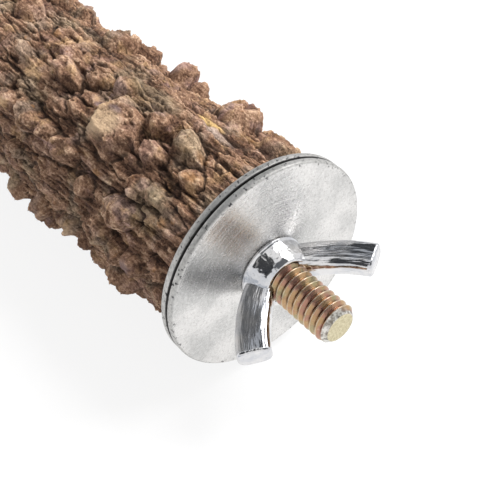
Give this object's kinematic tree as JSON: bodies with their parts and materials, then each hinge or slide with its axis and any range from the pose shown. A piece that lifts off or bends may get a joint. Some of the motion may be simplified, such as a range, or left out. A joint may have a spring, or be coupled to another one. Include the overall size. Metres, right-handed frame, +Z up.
{
  "type": "bird perch",
  "caption": "Knobbly natural branch bird perch with its bark on; a bolt in one end carries wide washers and a wing nut that clamp it to cage bars.",
  "frame": {"origin": "on the bolt's axis, at the face of the inner washer that grips the cage bars", "axes": "+X along the bolt, out of the branch towards the wing nut; the branch lies along -X; +Z up"},
  "size_m": [0.1691, 0.0406, 0.0401],
  "materials": {
    "wood": "sawn, dry",
    "bark": "rough corky bark, unsealed",
    "bolt": "yellow zinc plate",
    "washers": "satin bright zinc plate",
    "nut": "bright zinc plate"
  },
  "bodies": {
    "branch": {"wood_core": "wood", "bark": "bark", "hanger_bolt": "bolt"},
    "inner_washer": {"inner_washer": "washers"},
    "outer_washer": {"outer_washer": "washers"},
    "wing_nut": {"wing_nut": "nut"}
  },
  "joints": [
    {"name": "inner_washer_spin", "type": "hinge", "parent": "branch", "child": "inner_washer", "pos_m": [0, 0, 0], "axis": [1, 0, 0], "continuous": true},
    {"name": "outer_washer_slide", "type": "slide", "parent": "branch", "child": "outer_washer", "axis": [1, 0, 0], "range_m": [0, 0.01525]},
    {"name": "wing_nut_spin", "type": "hinge", "parent": "outer_washer", "child": "wing_nut", "pos_m": [0, 0, 0], "axis": [1, 0, 0], "range_deg": [0, 4320]}
  ],
  "couplings": [
    {"joint": "outer_washer_slide", "follows": "wing_nut_spin", "m_per_rad": 0.00020213}
  ]
}
